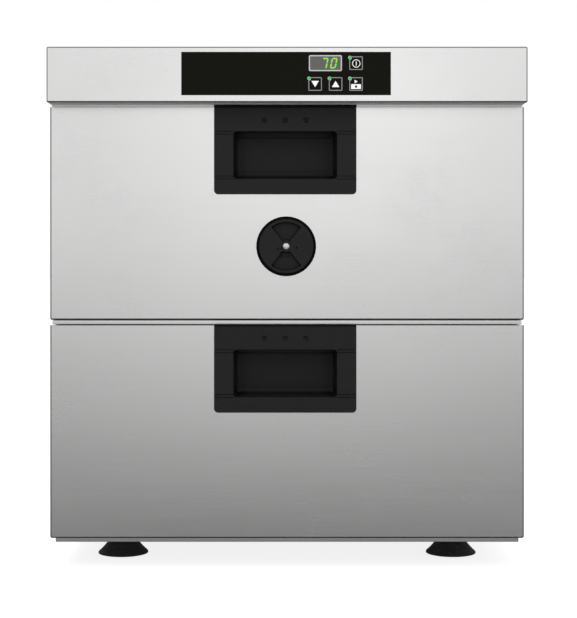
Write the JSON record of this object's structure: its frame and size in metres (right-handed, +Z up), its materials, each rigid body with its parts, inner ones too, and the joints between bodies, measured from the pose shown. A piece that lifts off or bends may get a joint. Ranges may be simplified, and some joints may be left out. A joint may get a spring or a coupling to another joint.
{
  "type": "countertop warming drawer",
  "caption": "Insulated steel warming cabinet with stacked pan drawers on ball slides, recessed handles, a rotary moisture vent and an overhanging control cap.",
  "frame": {"origin": "on the floor, under the middle of the outer box", "axes": "the drawer fronts face -Y; +X to the viewer's right when facing them, +Y to the rear, +Z up"},
  "size_m": [0.492, 0.673, 0.542],
  "materials": {
    "stainless": "satin",
    "inner_steel": "satin",
    "pan_steel": "polished",
    "zinc": "satin",
    "ball_steel": "polished",
    "pivot_steel": "satin",
    "wool": "matte",
    "seal_rubber": "matte",
    "foot_rubber": "matte",
    "handle_plastic": "satin",
    "dark_plastic": "satin",
    "pale_plastic": "satin",
    "panel_black": "satin",
    "lens": "gloss",
    "circuit_board": "satin",
    "transformer": "satin",
    "element": "satin",
    "wire": "satin",
    "led": "gloss"
  },
  "bodies": {
    "cabinet": {"left_side_panel": "stainless", "right_side_panel": "stainless", "back_panel": "stainless", "base_pan": "stainless", "front_frame": "stainless", "chamber_liner": "inner_steel", "cabinet_insulation": "wool", "top_cover": "stainless", "cap_floor": "inner_steel", "cap_back": "stainless", "control_panel": "panel_black", "display_lens": "lens", "display_module": "dark_plastic", "control_board": "circuit_board", "key_switches": "dark_plastic", "status_leds": "led", "power_board": "circuit_board", "transformer": "transformer", "terminal_block": "pale_plastic", "cable_gland": "dark_plastic", "heating_element": "element", "element_supports": "inner_steel", "temperature_probe": "inner_steel", "safety_thermostat": "dark_plastic", "internal_wiring": "wire", "feet": "foot_rubber", "foot_bolts": "zinc", "casing_screws": "zinc", "slide_outer_members": "zinc"},
    "upper_drawer": {"upper_front_skin": "stainless", "upper_front_lining": "inner_steel", "upper_front_insulation": "wool", "upper_gasket": "seal_rubber", "upper_handle": "handle_plastic", "upper_drawer_frame": "inner_steel", "upper_pan": "pan_steel", "upper_slide_inner": "zinc", "upper_screws": "zinc", "vent_seat": "handle_plastic", "vent_screw": "pivot_steel"},
    "lower_drawer": {"lower_front_skin": "stainless", "lower_front_lining": "inner_steel", "lower_front_insulation": "wool", "lower_gasket": "seal_rubber", "lower_handle": "handle_plastic", "lower_drawer_frame": "inner_steel", "lower_pan": "pan_steel", "lower_slide_inner": "zinc", "lower_screws": "zinc"},
    "vent_dial_body": {"vent_dial": "handle_plastic"},
    "upper_mid_slides": {"upper_slide_mid": "zinc"},
    "upper_outer_cages": {"upper_outer_balls": "ball_steel"},
    "upper_inner_cages": {"upper_inner_balls": "ball_steel"},
    "lower_mid_slides": {"lower_slide_mid": "zinc"},
    "lower_outer_cages": {"lower_outer_balls": "ball_steel"},
    "lower_inner_cages": {"lower_inner_balls": "ball_steel"},
    "power_key_body": {"power_key": "panel_black"},
    "down_key_body": {"down_key": "panel_black"},
    "up_key_body": {"up_key": "panel_black"},
    "start_key_body": {"start_key": "panel_black"}
  },
  "joints": [
    {"name": "upper_drawer_slide", "type": "slide", "parent": "cabinet", "child": "upper_drawer", "axis": [0, -1, 0], "range_m": [0, 0.5]},
    {"name": "upper_mid_slide", "type": "slide", "parent": "cabinet", "child": "upper_mid_slides", "axis": [0, -1, 0], "range_m": [0, 0.25]},
    {"name": "upper_outer_cage_slide", "type": "slide", "parent": "cabinet", "child": "upper_outer_cages", "axis": [0, -1, 0], "range_m": [0, 0.125]},
    {"name": "upper_inner_cage_slide", "type": "slide", "parent": "cabinet", "child": "upper_inner_cages", "axis": [0, -1, 0], "range_m": [0, 0.375]},
    {"name": "lower_drawer_slide", "type": "slide", "parent": "cabinet", "child": "lower_drawer", "axis": [0, -1, 0], "range_m": [0, 0.5]},
    {"name": "lower_mid_slide", "type": "slide", "parent": "cabinet", "child": "lower_mid_slides", "axis": [0, -1, 0], "range_m": [0, 0.25]},
    {"name": "lower_outer_cage_slide", "type": "slide", "parent": "cabinet", "child": "lower_outer_cages", "axis": [0, -1, 0], "range_m": [0, 0.125]},
    {"name": "lower_inner_cage_slide", "type": "slide", "parent": "cabinet", "child": "lower_inner_cages", "axis": [0, -1, 0], "range_m": [0, 0.375]},
    {"name": "vent_turn", "type": "hinge", "parent": "upper_drawer", "child": "vent_dial_body", "pos_m": [-0.0009, -0.3176, 0.338], "axis": [0, -1, 0], "range_deg": [0, 90]},
    {"name": "power_key_press", "type": "slide", "parent": "cabinet", "child": "power_key_body", "axis": [0, 1, 0], "range_m": [0, 0.0004], "stiffness_N_per_m": 800},
    {"name": "down_key_press", "type": "slide", "parent": "cabinet", "child": "down_key_body", "axis": [0, 1, 0], "range_m": [0, 0.0004], "stiffness_N_per_m": 800},
    {"name": "up_key_press", "type": "slide", "parent": "cabinet", "child": "up_key_body", "axis": [0, 1, 0], "range_m": [0, 0.0004], "stiffness_N_per_m": 800},
    {"name": "start_key_press", "type": "slide", "parent": "cabinet", "child": "start_key_body", "axis": [0, 1, 0], "range_m": [0, 0.0004], "stiffness_N_per_m": 800}
  ],
  "couplings": [
    {"joint": "upper_mid_slide", "follows": "upper_drawer_slide", "ratio": 0.5},
    {"joint": "upper_outer_cage_slide", "follows": "upper_drawer_slide", "ratio": 0.25},
    {"joint": "upper_inner_cage_slide", "follows": "upper_drawer_slide", "ratio": 0.75},
    {"joint": "lower_mid_slide", "follows": "lower_drawer_slide", "ratio": 0.5},
    {"joint": "lower_outer_cage_slide", "follows": "lower_drawer_slide", "ratio": 0.25},
    {"joint": "lower_inner_cage_slide", "follows": "lower_drawer_slide", "ratio": 0.75}
  ]
}
